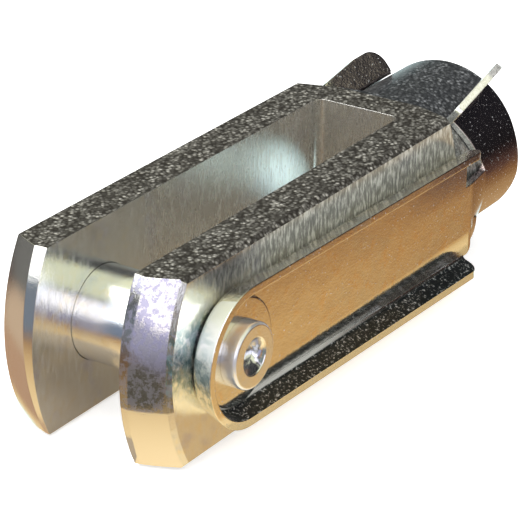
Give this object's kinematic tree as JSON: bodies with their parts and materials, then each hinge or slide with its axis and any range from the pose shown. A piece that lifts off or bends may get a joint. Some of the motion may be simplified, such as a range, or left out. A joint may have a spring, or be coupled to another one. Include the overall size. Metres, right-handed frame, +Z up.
{
  "type": "clevis rod end",
  "caption": "Square fork head with a tapped round neck, a cross pin through both prongs and a flanged spring clip that snaps round the neck.",
  "frame": {"origin": "where the pin's axis crosses the middle plane of the slot", "axes": "+X along the rod thread, out of the neck's mouth; +Y along the pin, towards its free end; +Z up, square to the slot's open faces"},
  "size_m": [0.0713, 0.0237, 0.0221],
  "materials": {
    "fork_zinc": "bright zinc plate over turned and milled steel, pitted on the drawn faces",
    "pin_zinc": "bright zinc plate, turned and polished",
    "clip_zinc": "bright zinc plate over smooth rolled spring strip"
  },
  "bodies": {
    "fork": {"fork_head": "fork_zinc"},
    "clip_and_pin": {"spring_clip": "clip_zinc", "clevis_pin": "pin_zinc"}
  },
  "joints": [
    {"name": "clip_swing", "type": "hinge", "parent": "fork", "child": "clip_and_pin", "pos_m": [0, 0, 0], "axis": [0, 1, 0], "range_deg": [0, 336], "deforming": ["spring_clip"]}
  ]
}
